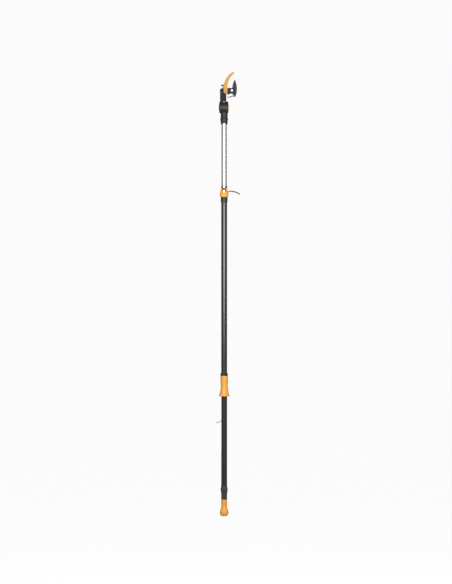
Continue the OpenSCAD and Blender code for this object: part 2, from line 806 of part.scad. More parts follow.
module grip_back() {
    grip_half(1);
}

module grip_screws() {
    color("dimgray") for (z = grip_screw_z) pin_y([pole_r + 2.2, z], 1.2, -7, 7);
}

module grip_ring() {
    color("#333333") rotate_extrude() polygon([[grip_bore, grip_top], [pole_r + 3.4, grip_top],
        [pole_r + 3.8, grip_top + 0.8], [pole_r + 3.8, grip_top + grip_ring_h - 3],
        [pole_r + 2.6, grip_top + grip_ring_h], [grip_bore, grip_top + grip_ring_h]]);
}

module grip_fin() {
    color("silver") difference() {
        translate([fin_out, -fin_w / 2, fin_z]) cube([fin_in - fin_out, fin_w, fin_top - fin_z]);
        for (z = fin_pin_z) pin_y([fin_pin_x, z], fin_pin_r, -20, 20);
    }
}

fin_pin_z = [fin_z + 15, fin_top - 15];

module fin_pins() {
    color("silver") for (z = fin_pin_z) pin_y([fin_pin_x, z], fin_pin_r, -5.2, 5.2);
}

module carriage() {
    color("ivory") difference() {
        translate([0, 0, carriage_z]) cylinder(r = carriage_r, h = carriage_top - carriage_z);
        translate([-20, -fin_w / 2 - 0.1, carriage_z - 1]) cube([20 + channel_x, fin_w + 0.2, carriage_top]);
        translate([0, 0, carriage_z - 1]) cylinder(r = rod_r, h = 36);
        translate([2.5, 0, carriage_z + 50]) cylinder(r = carriage_r - 4.9, h = carriage_top);
        for (z = fin_pin_z) pin_y([fin_pin_x, z], fin_pin_r, -20, 20);
    }
}

module strap_buckle() {
    color("dimgray") difference() {
        translate([-carriage_r + 0.6, -fin_w / 2, buckle_z]) cube([carriage_r - 0.6 + channel_x, fin_w, buckle_h]);
        translate([strap_x - strap_t / 2, -strap_w / 2 + 0.6, buckle_z + 3]) cube([strap_t, strap_w - 1.2, 20]);
    }
}

module lower_strap() {
    color("silver") translate([strap_x - strap_t / 2, -strap_w / 2 + 0.6, buckle_z + 3])
        cube([strap_t, strap_w - 1.2, carriage_top - buckle_z - 2]);
}

module strap_tail() {
    color("gainsboro") cord(tail_route, strap_x, buckle_z, strap_w, strap_t + 0.4, 8);
}

outer_tube();
end_collar();
rod_bush();
collar_rivets();
lock_ring();
lock_collar();
lock_yoke();
lock_screws();
brake_shoe();
shoe_spring();
release_cord();
inner_tube();
foot_bush();
knuckle_left();
knuckle_right();
knuckle_screws();
strap_rollers();
roller_axles();
tilt_lever();
lever_pin();
tackle_block();
tackle_wheels();
tackle_axles();
fixed_roller();
tackle_pins();
main_strap();
drive_strap();
head_tongue();
head_front_shell();
head_back_shell();
head_screws();
hook();
hook_screws();
front_bridge();
back_bridge();
pivot_bolt();
pivot_nut();
accessory_bolt();
spring_anchor();
return_spring();
blade();
blade_stud();
arm_pivot();
drive_link();
grip_front();
grip_back();
grip_ring();
grip_screws();
grip_fin();
fin_pins();
carriage();
strap_buckle();
lower_strap();
strap_tail();
pull_rod();
end_knob();
knob_pin();
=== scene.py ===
"""Telescopic pole pruner: looks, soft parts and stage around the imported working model."""

import json
import math

import bmesh
import bpy
from bpy.props import FloatProperty, FloatVectorProperty, IntProperty, PointerProperty
from mathutils import Matrix, Vector


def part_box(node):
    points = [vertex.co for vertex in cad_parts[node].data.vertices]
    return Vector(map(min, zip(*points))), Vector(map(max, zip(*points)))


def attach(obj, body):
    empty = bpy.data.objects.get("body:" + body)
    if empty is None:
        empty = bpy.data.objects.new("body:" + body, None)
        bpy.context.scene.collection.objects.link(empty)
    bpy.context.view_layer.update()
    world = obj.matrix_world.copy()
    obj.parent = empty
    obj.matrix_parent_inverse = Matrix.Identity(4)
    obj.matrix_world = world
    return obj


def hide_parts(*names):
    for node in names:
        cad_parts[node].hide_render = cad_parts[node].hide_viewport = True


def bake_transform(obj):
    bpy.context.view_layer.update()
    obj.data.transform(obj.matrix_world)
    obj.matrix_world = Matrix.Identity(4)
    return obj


bl_info = {
    "name": "Telescopic Pole Pruner",
    "version": (1, 0, 0),
    "blender": (4, 5, 0),
    "location": "View3D > Sidebar > Pole Pruner",
    "description": "Builds the pruner's finished pieces, its cords and a studio stage",
    "category": "Object",
}

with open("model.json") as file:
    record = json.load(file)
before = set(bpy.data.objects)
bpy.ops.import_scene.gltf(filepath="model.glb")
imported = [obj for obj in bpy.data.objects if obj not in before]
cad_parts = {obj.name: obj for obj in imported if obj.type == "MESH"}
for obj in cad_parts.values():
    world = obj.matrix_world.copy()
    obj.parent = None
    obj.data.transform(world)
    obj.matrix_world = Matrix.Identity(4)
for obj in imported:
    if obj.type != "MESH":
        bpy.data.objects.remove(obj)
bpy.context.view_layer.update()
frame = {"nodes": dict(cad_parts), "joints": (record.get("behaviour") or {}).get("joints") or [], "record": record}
MM = 0.001
TURN = 2 * math.pi
FLOOR_DROP = 0.16  # from the knob's end down to the floor
EDGE_ANGLE = math.radians(32)  # a corner sharper than this is rounded


# ---- places taken from the frame ----

def low(node):
    return Vector(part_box(node)[0])


def high(node):
    return Vector(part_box(node)[1])


def middle(node):
    return (low(node) + high(node)) / 2


def width(node):
    return high(node).x - low(node).x


def joint_place(name):
    """Where a hinge's axis stands at rest."""
    for joint in frame["joints"]:
        if joint["name"] == name:
            return Vector(joint["pos_m"])
    raise ValueError(f"the frame has no joint named {name}")


POLE_R = width("outer_tube") / 2
TILT = joint_place("tilt_hinge")


# ---- settings ----

def colour(name, about, rgb):
    return FloatVectorProperty(name=name, description=about, default=rgb, size=3, subtype="COLOR",
                               min=0.0, max=1.0)


def length(name, about, value):
    return FloatProperty(name=name, description=about, default=value, subtype="DISTANCE",
                         unit="LENGTH", min=0.0)


class PRUNER_PG_colours(bpy.types.PropertyGroup):
    moulded_orange: colour("Moulded orange", "Colour of the orange plastic", (0.94, 0.42, 0.055))
    painted_orange: colour("Painted orange", "Colour of the hook's enamel", (0.60, 0.32, 0.045))
    pole_black: colour("Pole black", "Powder coat of the outer tube", (0.01, 0.01, 0.011))
    moulded_black: colour("Moulded black", "Colour of the black plastic", (0.018, 0.018, 0.018))
    soft_black: colour("Soft black", "Colour of the rubbery butt collar", (0.036, 0.036, 0.036))
    ring_grey: colour("Ring grey", "Colour of the ring under the lock", (0.035, 0.033, 0.036))
    coating: colour("Blade coating", "Low-friction coating of the blade", (0.022, 0.019, 0.026))
    webbing: colour("Webbing", "Colour of the strap's yarn", (0.60, 0.60, 0.63))
    acetal: colour("Bearing plastic", "Colour of bushes and rollers", (0.72, 0.69, 0.60))


class PRUNER_PG_sizes(bpy.types.PropertyGroup):
    edge: length("Edge rounding", "Rounding of the hard parts' edges", 0.5 * MM)
    soft_edge: length("Shell rounding", "Rounding of the moulded shells' edges", 0.9 * MM)
    wire: length("Spring wire", "Wire diameter of the return spring", 1.2 * MM)
    grind: length("Grind", "Width of the blade's ground bevel", 4.5 * MM)
    rib_count: IntProperty(name="Lock ribs", description="Finger ribs round the lock collar",
                           default=26, min=6, max=60)


class PRUNER_PG_stage(bpy.types.PropertyGroup):
    view_height: length("View height", "Height of the picture at the pole", 3.1565)
    distance: length("Camera distance", "From the pole to the camera", 16.0)
    aim_x: FloatProperty(name="Aim across", description="Picture centre to the right of the pole",
                         default=0.0100, subtype="DISTANCE", unit="LENGTH")
    aim_z: length("Aim height", "Height of the picture's centre", 1.2113)


# ---- materials ----

class Finish:
    """A node material under construction, with patterns on Object coordinates."""

    def __init__(self, name, rgb, rough, metal=0.0):
        self.material = bpy.data.materials.new(name)
        self.material.use_nodes = True
        self.nodes = self.material.node_tree.nodes
        self.links = self.material.node_tree.links
        self.shader = self.nodes["Principled BSDF"]
        self.shader.inputs["Base Color"].default_value = (*rgb, 1)
        self.shader.inputs["Roughness"].default_value = rough
        self.shader.inputs["Metallic"].default_value = metal
        self.rgb = rgb
        self.rough = rough
        self.place = self.nodes.new("ShaderNodeTexCoord")
        self.bumps = None

    def noise(self, scale, detail=4.0, stretch=(1, 1, 1)):
        mapping = self.nodes.new("ShaderNodeMapping")
        mapping.inputs["Scale"].default_value = stretch
        self.links.new(self.place.outputs["Object"], mapping.inputs["Vector"])
        node = self.nodes.new("ShaderNodeTexNoise")
        node.inputs["Scale"].default_value = scale
        node.inputs["Detail"].default_value = detail
        self.links.new(mapping.outputs["Vector"], node.inputs["Vector"])
        return node.outputs["Fac"]

    def spread(self, value, out_low, out_high, in_low=0.35, in_high=0.65):
        node = self.nodes.new("ShaderNodeMapRange")
        for name, number in (("From Min", in_low), ("From Max", in_high), ("To Min", out_low),
                             ("To Max", out_high)):
            node.inputs[name].default_value = number
        self.links.new(value, node.inputs["Value"])
        return node.outputs["Result"]

    def tint(self, value, dark, light):
        """Varies the colour between two shares of its brightness."""
        node = self.nodes.new("ShaderNodeMix")
        node.data_type = "RGBA"
        node.inputs["A"].default_value = (*(min(1, c * dark) for c in self.rgb), 1)
        node.inputs["B"].default_value = (*(min(1, c * light) for c in self.rgb), 1)
        self.links.new(value, node.inputs["Factor"])
        self.links.new(node.outputs["Result"], self.shader.inputs["Base Color"])

    def gloss(self, value, less, more):
        self.links.new(self.spread(value, self.rough - less, self.rough + more),
                       self.shader.inputs["Roughness"])

    def bump(self, value, height, strength=1.0):
        node = self.nodes.new("ShaderNodeBump")
        node.inputs["Distance"].default_value = height
        node.inputs["Strength"].default_value = strength
        self.links.new(value, node.inputs["Height"])
        if self.bumps:
            self.links.new(self.bumps, node.inputs["Normal"])
        self.bumps = node.outputs["Normal"]
        self.links.new(self.bumps, self.shader.inputs["Normal"])

    def coat(self, weight, rough):
        self.shader.inputs["Coat Weight"].default_value = weight
        self.shader.inputs["Coat Roughness"].default_value = rough


def powder_coat(rgb):
    f = Finish("satin_powder_coat", rgb, 0.22)
    f.shader.inputs["Specular IOR Level"].default_value = 0.7
    f.coat(0.7, 0.18)
    f.tint(f.spread(f.noise(6, 3), 0, 1), 0.85, 1.2)
    f.gloss(f.noise(90, 5, (1, 1, 0.12)), 0.02, 0.03)
    f.bump(f.noise(1100, 2), 0.008 * MM, 0.25)
    return f.material


def drawn_aluminium():
    f = Finish("drawn_aluminium", (0.80, 0.81, 0.82), 0.34, 1.0)
    lines = f.noise(700, 2, (1, 1, 0.002))
    f.tint(f.spread(lines, 0, 1), 0.96, 1.0)
    f.gloss(lines, 0.015, 0.015)
    f.bump(lines, 0.001 * MM, 0.2)
    return f.material


def moulded(name, rgb, rough=0.42, grain=1400, depth=0.014, shine=0.5):
    f = Finish(name, rgb, rough)
    f.shader.inputs["Specular IOR Level"].default_value = shine
    f.tint(f.spread(f.noise(14, 3), 0, 1), 0.94, 1.05)
    f.gloss(f.noise(60, 4), 0.04, 0.06)
    f.bump(f.noise(grain, 2), depth * MM, 0.6)
    return f.material


def soft_rubber(name, rgb):
    f = Finish(name, rgb, 0.6)
    f.tint(f.spread(f.noise(30, 4), 0, 1), 0.85, 1.15)
    f.bump(f.noise(2200, 3), 0.02 * MM, 0.6)
    f.shader.inputs["Sheen Weight"].default_value = 0.15
    f.shader.inputs["Sheen Roughness"].default_value = 0.5
    return f.material


def enamel(rgb):
    f = Finish("orange_enamel", rgb, 0.36)
    f.shader.inputs["Specular IOR Level"].default_value = 0.2
    f.tint(f.spread(f.noise(40, 4), 0, 1), 0.9, 1.06)
    f.gloss(f.noise(300, 3), 0.04, 0.08)
    f.bump(f.noise(700, 2), 0.012 * MM, 0.4)
    f.coat(0.1, 0.25)
    return f.material


def plated_steel():
    f = Finish("zinc_plate", (0.56, 0.55, 0.6), 0.28, 1.0)
    f.tint(f.spread(f.noise(120, 4), 0, 1), 0.85, 1.0)
    f.gloss(f.noise(500, 4), 0.06, 0.1)
    return f.material


def spring_wire():
    f = Finish("spring_wire", (0.40, 0.39, 0.45), 0.5, 0.3)
    f.tint(f.spread(f.noise(300, 4), 0, 1), 0.85, 1.05)
    f.gloss(f.noise(500, 3), 0.04, 0.06)
    return f.material


def black_oxide():
    f = Finish("black_oxide", (0.045, 0.045, 0.047), 0.4, 0.6)
    f.tint(f.spread(f.noise(150, 4), 0, 1), 0.8, 1.3)
    f.gloss(f.noise(400, 3), 0.06, 0.1)
    return f.material


def blade_coating(rgb):
    f = Finish("blade_coating", rgb, 0.38)
    f.shader.inputs["Specular IOR Level"].default_value = 0.2
    f.tint(f.spread(f.noise(60, 5), 0, 1), 0.85, 1.25)
    f.gloss(f.noise(35, 5), 0.06, 0.1)
    f.bump(f.noise(1300, 2), 0.01 * MM, 0.4)
    return f.material


def ground_steel():
    f = Finish("ground_steel", (0.5, 0.5, 0.52), 0.32, 1.0)
    lines = f.noise(900, 3, (1, 1, 0.05))
    f.tint(f.spread(lines, 0, 1), 0.75, 1.0)
    f.bump(lines, 0.008 * MM, 0.5)
    return f.material


def acetal(rgb):
    f = Finish("natural_acetal", rgb, 0.38)
    f.tint(f.spread(f.noise(50, 3), 0, 1), 0.95, 1.03)
    f.shader.inputs["Subsurface Weight"].default_value = 0.15
    f.shader.inputs["Subsurface Radius"].default_value = (0.004, 0.003, 0.002)
    return f.material


def webbing(name, rgb, across, along):
    """Plain weave on the strap's own UV map: u across in widths, v along in widths."""
    f = Finish(name, rgb, 0.75)
    mapping = f.nodes.new("ShaderNodeMapping")
    mapping.inputs["Scale"].default_value = (across, along, 1)
    f.links.new(f.place.outputs["UV"], mapping.inputs["Vector"])
    checks = f.nodes.new("ShaderNodeTexChecker")
    checks.inputs["Scale"].default_value = 1.0
    f.links.new(mapping.outputs["Vector"], checks.inputs["Vector"])
    yarn = f.nodes.new("ShaderNodeTexWave")
    yarn.wave_type = "BANDS"
    yarn.bands_direction = "X"
    yarn.inputs["Scale"].default_value = 0.5
    f.links.new(mapping.outputs["Vector"], yarn.inputs["Vector"])
    f.tint(f.spread(checks.outputs["Fac"], 0, 1, 0, 1), 0.8, 1.08)
    f.bump(checks.outputs["Fac"], 0.12 * MM, 0.5)
    f.bump(yarn.outputs["Fac"], 0.08 * MM, 0.5)
    f.shader.inputs["Sheen Weight"].default_value = 0.3
    f.shader.inputs["Sheen Roughness"].default_value = 0.4
    return f.material


def cord_rubber():
    f = Finish("cord_rubber", (0.02, 0.02, 0.021), 0.6)
    f.tint(f.spread(f.noise(200, 4), 0, 1), 0.8, 1.2)
    f.bump(f.noise(1600, 2), 0.02 * MM, 0.5)
    return f.material


FINISHES = {}


def make_finishes():
    c = bpy.context.scene.pruner_colours
    FINISHES.update(
        black_tube=powder_coat(c.pole_black),
        soft_black=soft_rubber("soft_black", c.soft_black),
        black_plastic=moulded("moulded_black", c.moulded_black, 0.46, 1300, 0.018),
        grey_plastic=moulded("moulded_grey", c.ring_grey, 0.4),
        orange_plastic=moulded("moulded_orange", c.moulded_orange, 0.38),
        orange_steel=enamel(c.painted_orange),
        silver_tube=drawn_aluminium(),
        bright_steel=plated_steel(),
        spring_wire=spring_wire(),
        dark_steel=black_oxide(),
        black_steel=moulded("black_enamel", c.moulded_black, 0.4, 900, 0.01, 0.14),
        flat_black=moulded("textured_black", c.moulded_black, 0.5, 1300, 0.02, 0.12),
        blade_steel=blade_coating(c.coating),
        ground=ground_steel(),
        bearing_plastic=acetal(c.acetal),
        pale_webbing=webbing("pale_webbing", c.webbing, 9, 9),
        dark_cord=cord_rubber(),
    )


# ---- making pieces ----

def spline(points, steps=5):
    """A smooth line through a few points."""
    out = []
    last = len(points) - 1
    for i in range(last):
        a, b, c, d = (Vector(points[j]) for j in (max(i - 1, 0), i, i + 1, min(i + 2, last)))
        for k in range(steps):
            t = k / steps
            out.append(0.5 * (2 * b + (c - a) * t + (2 * a - 5 * b + 4 * c - d) * t * t
                              + (3 * b - a - 3 * c + d) * t ** 3))
    out.append(Vector(points[last]))
    return out


def section(rows, radius, height):
    """Rows of millimetres out from a radius and up from a height, in metres."""
    return [(radius + row[0] * MM, height + row[1] * MM) for row in rows]


def lathe(rows, closed=True, steps=96, angle=TURN, start=0.0):
    """Spins a section of (radius, height) pairs about Z."""
    bm = bmesh.new()
    side = Matrix.Rotation(start, 3, "Z")
    verts = [bm.verts.new(side @ Vector((row[0], 0, row[1]))) for row in rows]
    edges = [bm.edges.new(pair) for pair in zip(verts, verts[1:])]
    if closed:
        edges.append(bm.edges.new((verts[-1], verts[0])))
    whole = angle == TURN
    made = verts + edges
    if not whole:
        made = [bm.faces.new(verts)] + verts + edges
    bmesh.ops.spin(bm, geom=made, cent=(0, 0, 0), axis=(0, 0, 1), angle=angle, steps=steps,
                   use_merge=whole)
    bmesh.ops.remove_doubles(bm, verts=bm.verts, dist=1e-6)
    bmesh.ops.recalc_face_normals(bm, faces=bm.faces)
    return bm


def slab(outline, near, far):
    """A plate cut from an outline in the XZ plane, from one Y to another."""
    bm = bmesh.new()
    face = bm.faces.new([bm.verts.new((x, near, z)) for x, z in outline])
    made = bmesh.ops.extrude_face_region(bm, geom=[face])["geom"]
    bmesh.ops.translate(bm, verts=[g for g in made if isinstance(g, bmesh.types.BMVert)],
                        vec=(0, far - near, 0))
    bmesh.ops.recalc_face_normals(bm, faces=bm.faces)
    return bm


def rod(radius, a, b, sides=48):
    """A round bar from one point to another."""
    bm = bmesh.new()
    line = Vector(b) - Vector(a)
    turn = line.to_track_quat("Z", "Y").to_matrix().to_4x4()
    place = Matrix.Translation((Vector(a) + Vector(b)) / 2) @ turn
    bmesh.ops.create_cone(bm, cap_ends=True, segments=sides, radius1=radius, radius2=radius,
                          depth=line.length, matrix=place)
    return bm


def shade(mesh, angle=35):
    mesh.shade_smooth()
    mesh.set_sharp_from_angle(angle=math.radians(angle))


def piece(name, bm, finish, smooth=35):
    """Makes an object at the origin from a bmesh."""
    mesh = bpy.data.meshes.new(name)
    bm.to_mesh(mesh)
    bm.free()
    obj = bpy.data.objects.new(name, mesh)
    bpy.context.scene.collection.objects.link(obj)
    mesh.materials.append(FINISHES[finish])
    shade(mesh, smooth)
    return obj


def bevel(obj, amount, segments=2):
    rounding = obj.modifiers.new("Rounding", "BEVEL")
    rounding.width = amount
    rounding.segments = segments
    rounding.limit_method = "ANGLE"
    rounding.angle_limit = EDGE_ANGLE
    rounding.harden_normals = True
    rounding.use_clamp_overlap = True


def evaluated_mesh(obj):
    """A new mesh of an object as its modifiers or curve settings leave it."""
    finished = obj.evaluated_get(bpy.context.evaluated_depsgraph_get())
    return bpy.data.meshes.new_from_object(finished)


def carve(obj, tools, how="DIFFERENCE"):
    """Cuts shapes out of a piece, or joins them to it, and leaves a plain mesh."""
    helpers = []
    for tool in tools:
        mesh = bpy.data.meshes.new("tool")
        tool.to_mesh(mesh)
        tool.free()
        mesh.materials.append(obj.data.materials[0])
        helper = bpy.data.objects.new("tool", mesh)
        bpy.context.scene.collection.objects.link(helper)
        helpers.append(helper)
        cut = obj.modifiers.new("Cut", "BOOLEAN")
        cut.operation = how
        cut.solver = "EXACT"
        cut.object = helper
    result = evaluated_mesh(obj)
    obj.modifiers.clear()
    worn = obj.data
    obj.data = result
    bpy.data.meshes.remove(worn)
    for helper in helpers:
        mesh = helper.data
        bpy.data.objects.remove(helper)
        bpy.data.meshes.remove(mesh)
    shade(result)


def merged_copy(node):
    """The working part's own shape as a bmesh, with its flat faces whole."""
    bm = bmesh.new()
    bm.from_mesh(frame["nodes"][node].data)
    bmesh.ops.remove_doubles(bm, verts=bm.verts, dist=2e-6)
    bmesh.ops.dissolve_limit(bm, angle_limit=math.radians(1.0), verts=bm.verts, edges=bm.edges)
    return bm


SLOTS = {part["node"]: part["material_slot"] for part in frame["record"]["subparts"]}
BODY_OF = {n: body for body, nodes in frame["record"]["behaviour"]["bodies"].items() for n in nodes}


def stand_for(obj, *nodes):
    """The piece rides with the nodes that it stands for, and hides them."""
    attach(obj, BODY_OF[nodes[0]])
    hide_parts(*nodes)
    return obj


def dress(node, edge, segments=2, finish=None):
    """A rounded, finished copy of a working part."""
    obj = piece(node + "_finished", merged_copy(node), finish or SLOTS[node])
    bevel(obj, edge, segments)
    return stand_for(obj, node)


def dress_all(nodes, edge, segments=2):
    for node in nodes:
        dress(node, edge, segments)


def coil(name, a, b, radius, wire, turns, finish):
    """A close-wound spring of round wire between two points, its ends carried to both."""
    axis = (Vector(b) - Vector(a)).normalized()
    out = Vector((0, 1, 0))
    across = axis.cross(out)
    lead = 1.2 * wire
    span = (Vector(b) - Vector(a)).length - 2 * lead
    points = [Vector(a)]
    per_turn = 14
    for i in range(turns * per_turn + 1):
        phase = TURN * i / per_turn
        points.append(Vector(a) + axis * (lead + span * i / (turns * per_turn))
                      + radius * (math.cos(phase) * out + math.sin(phase) * across))
    points.append(Vector(b))
    curve = bpy.data.curves.new(name, "CURVE")
    curve.dimensions = "3D"
    curve.bevel_depth = wire / 2
    curve.bevel_resolution = 2
    curve.use_fill_caps = True
    line = curve.splines.new("POLY")
    line.points.add(len(points) - 1)
    for point, place in zip(line.points, points):
        point.co = (*place, 1)
    holder = bpy.data.objects.new(name + "_line", curve)
    bpy.context.scene.collection.objects.link(holder)
    mesh = evaluated_mesh(holder)
    bpy.data.objects.remove(holder)
    bpy.data.curves.remove(curve)
    obj = bpy.data.objects.new(name, mesh)
    bpy.context.scene.collection.objects.link(obj)
    mesh.materials.clear()
    mesh.materials.append(FINISHES[finish])
    mesh.shade_smooth()
    return obj


def ribbon(name, route, wide, thick, finish, crown=0.12, lean=0.0):
    """Flat webbing along a route in the XZ plane, with its own UV map.

    It leans over by the given angle towards its far end.
    """
    half = wide / 2
    edge = thick / 2
    ring = [(-half, 0), (-half * 0.93, edge * 0.8), (-half * 0.5, edge), (0, edge * (1 + crown)),
            (half * 0.5, edge), (half * 0.93, edge * 0.8), (half, 0), (half * 0.93, -edge * 0.8),
            (half * 0.5, -edge), (0, -edge * (1 + crown)), (-half * 0.5, -edge),
            (-half * 0.93, -edge * 0.8)]
    bm = bmesh.new()
    uv = bm.loops.layers.uv.new("UVMap")
    rows = []
    run = [0.0]
    for i, place in enumerate(route):
        ahead = Vector(route[min(i + 1, len(route) - 1)]) - Vector(route[max(i - 1, 0)])
        ahead.normalize()
        out = Vector((-ahead.z, 0, ahead.x))
        turn = Matrix.Rotation(lean * min(1.0, 3 * i / len(route)), 3, ahead)
        rows.append([bm.verts.new(Vector(place) + turn @ (Vector((0, y, 0)) + out * t))
                     for y, t in ring])
        if i:
            run.append(run[-1] + (Vector(place) - Vector(route[i - 1])).length)
    count = len(ring)
    for i in range(len(rows) - 1):
        for k in range(count):
            m = (k + 1) % count
            face = bm.faces.new((rows[i][k], rows[i][m], rows[i + 1][m], rows[i + 1][k]))
            spots = ((ring[k][0], run[i]), (ring[m][0], run[i]), (ring[m][0], run[i + 1]),
                     (ring[k][0], run[i + 1]))
            for loop, (across, along) in zip(face.loops, spots):
                loop[uv].uv = (across / wide, along / wide)
    bm.faces.new(rows[0])
    bm.faces.new(rows[-1])
    bmesh.ops.recalc_face_normals(bm, faces=bm.faces)
    return piece(name, bm, finish, 60)


def straight(a, b, step=0.01):
    """Points along a straight line, about a step apart."""
    a = Vector(a)
    b = Vector(b)
    count = max(1, round((b - a).length / step))
    return [a.lerp(b, i / count) for i in range(count + 1)]


def half_turn(centre, radius, over, right_first, steps=14):
    """Points of half a turn round a wheel, over its top or under its bottom."""
    first = 0 if right_first else math.pi
    way = (1 if over else -1) * (1 if right_first else -1)
    return [Vector(centre) + radius * Vector((math.cos(first + way * math.pi * i / steps), 0,
                                              math.sin(first + way * math.pi * i / steps)))
            for i in range(steps + 1)]


# ---- operators ----

# Route of the release cord from its stem, in millimetres to the right and up
RELEASE_ROUTE = ((0, 0), (2, 0), (5, 0.7), (9, 1.6), (13, 1.9), (17, 1.4), (22, 0.3), (28, -0.9),
                 (34, -2.2), (40, -4.2), (46, -6.9), (52, -9.9), (58, -13), (62, -15.2))
# Route of the strap's free end from its buckle
TAIL_ROUTE = ((0, 0), (-0.1, -5), (-0.3, -10), (-1.2, -15), (-3, -19.5), (-6, -23.4), (-10, -26.2),
              (-14.5, -28.3), (-19, -30.8), (-23.5, -33.2), (-28, -34.4), (-32.5, -34.2),
              (-37, -33))


# Sections of the turned pieces, in millimetres: out from the pole's wall and up from the foot
# of the piece. The knob's are measured out from its axis.
KNOB_R = 23.8
KNOB_FOOT = [(0, 1.2), (6.6, 1.2), (7.4, 0.3), (8.4, 0), (10.5, 0)]
KNOB_CURVE = [(10.5, 0), (14.4, 1), (17.8, 3.8), (20.5, 7.6), (22.1, 11.5), (23.1, 16),
              (23.8, 21.2), (23.1, 26), (21.4, 31), (19.2, 37.5), (17.3, 45), (16.2, 52),
              (15.7, 60), (15.65, 67), (15.8, 72), (16.2, 77.6)]
KNOB_CAP = [(16.1, 78.2), (15.3, 78.6), (15.3, 80.6), (16.2, 81), (16.35, 81.6), (16.35, 88.6),
            (15.9, 89.7), (15.1, 90), (0, 90)]
COLLAR_CURVE = [(0, 26), (0.3, 32), (1.2, 40), (2.7, 48.5), (3.45, 52.7), (3.1, 56), (2, 60.5),
                (1.35, 66), (0.95, 71.4)]
GRIP_CURVE = [(10.6, 0), (12, 1.5), (12.4, 4), (11.5, 9), (9.3, 14.5), (7.3, 19.5), (5.9, 26),
              (4.9, 34), (4, 44), (3.6, 56), (3.8, 68), (4.4, 80), (4.7, 92), (4.5, 104),
              (4.2, 108.5)]
CAP_RING = [(0.3, 0), (3.3, 0), (3.8, 0.7), (3.8, 3), (3.3, 3.6), (3.3, 10.4), (3.8, 11),
            (3.7, 12.2), (2.7, 14.5), (0.3, 14.5)]
LOCK_CURVE = [(3.6, 0.3), (5.2, 2.6), (7.6, 7.6), (8.1, 11), (7.8, 15), (6.4, 19.5), (5.5, 25),
              (3.9, 30), (2.4, 36), (1.45, 43), (1.2, 50), (1.0, 58)]
LOCK_RING = [(0.01, 0), (0.7, 0), (1.3, 7.6), (1.9, 8.4), (2.55, 9.2), (2.75, 10), (2.75, 16.8),
             (2.5, 17.2), (2.05, 17.6), (2.05, 20.2), (2.5, 20.6), (2.75, 21), (2.75, 31),
             (2.2, 32), (0.01, 32)]
# The window in the lock collar, across the pole and up from the top of the outer tube
LOCK_WINDOW = [(-8, 2.8), (-7.2, 2), (7.2, 2), (8, 2.8), (8, 21), (15.2, 31), (15.2, 62),
               (-15.2, 62), (-15.2, 31), (-8, 21)]
GRIP_SCREW_LEVELS = (30, 92)
KNOB_FLUTES = 12
CAP_RING_TEETH = 48
BOLT_HEAD = 7.6 * MM  # height of the accessory bolt's black head
# The circle of the blade's cutting edge: right of the pole, up from the tilt axis, and its radius
EDGE_X, EDGE_UP, EDGE_R = 0.158, 0.0979, 0.1145
# Each wheel's radius, and how far from its axle the strap's inner face lies
BIG_WHEEL, BIG_LAY = 9 * MM, 9.1 * MM
SMALL_WHEEL, SMALL_LAY = 4.5 * MM, 4.6 * MM
STRAP_STEP = 0.03  # between the points of a straight stretch


class PRUNER_OT_camera(bpy.types.Operator):
    """Sets the camera level with the pole's middle, far off, and mixes the finishes"""
    bl_idname = "pruner.camera"
    bl_label = "Camera and finishes"

    def execute(self, context):
        s = context.scene.pruner_stage
        camera = bpy.data.objects.new("camera", bpy.data.cameras.new("camera"))
        camera.data.lens = camera.data.sensor_width * s.distance / s.view_height
        camera.data.clip_end = 100
        camera.location = (s.aim_x, -s.distance, s.aim_z)
        camera.rotation_euler = (math.radians(90), 0, 0)
        context.scene.collection.objects.link(camera)
        context.scene.camera = camera
        make_finishes()
        return {"FINISHED"}


class PRUNER_OT_release_cord(bpy.types.Operator):
    """Lays the dark pull cord of the telescope's lock"""
    bl_idname = "pruner.release_cord"
    bl_label = "Release cord"

    def execute(self, context):
        start = Vector((high("brake_shoe").x, 0, middle("brake_shoe").z))
        knots = [start + Vector((x, 0, z)) * MM for x, z in RELEASE_ROUTE]
        route = spline(knots, 6)
        thick = low("release_cord").y * -2
        bm = bmesh.new()
        rows = []
        sides = 20
        for i, place in enumerate(route):
            ahead = (route[min(i + 1, len(route) - 1)] - route[max(i - 1, 0)]).normalized()
            out = Vector((-ahead.z, 0, ahead.x))
            ring = []
            for k in range(sides):
                turn = TURN * k / sides
                way = math.cos(turn) * out + math.sin(turn) * Vector((0, 1, 0))
                ring.append(bm.verts.new(place + thick / 2 * way))
            rows.append(ring)
        for near, far in zip(rows, rows[1:]):
            for k in range(sides):
                bm.faces.new((near[k], near[(k + 1) % sides], far[(k + 1) % sides], far[k]))
        for ring in (rows[0], rows[-1]):
            cap = bm.faces.new(ring)
            if ring is rows[-1]:
                bmesh.ops.inset_region(bm, faces=[cap], thickness=thick * 0.12, depth=thick * 0.1)
        bmesh.ops.recalc_face_normals(bm, faces=bm.faces)
        obj = piece("release_cord_rubber", bm, "dark_cord", 50)
        stand_for(obj, "release_cord")
        return {"FINISHED"}


class PRUNER_OT_strap_tail(bpy.types.Operator):
    """Lays the strap's free end out of the pole's slot"""
    bl_idname = "pruner.strap_tail"
    bl_label = "Strap's free end"

    def execute(self, context):
        start = Vector((middle("lower_strap").x, 0, low("strap_buckle").z))
        route = spline([start + Vector((x, 0, z)) * MM for x, z in TAIL_ROUTE], 6)
        wide = high("strap_tail").y - low("strap_tail").y
        obj = ribbon("strap_free_end", route, wide, 1.7 * MM, "pale_webbing", lean=math.radians(24))
        stand_for(obj, "strap_tail")
        return {"FINISHED"}


class PRUNER_OT_tubes(bpy.types.Operator):
    """Finishes the two telescoping tubes and the pull rod"""
    bl_idname = "pruner.tubes"
    bl_label = "Tubes"

    def execute(self, context):
        dress_all(("outer_tube", "inner_tube", "pull_rod"), 0.25 * MM)
        return {"FINISHED"}


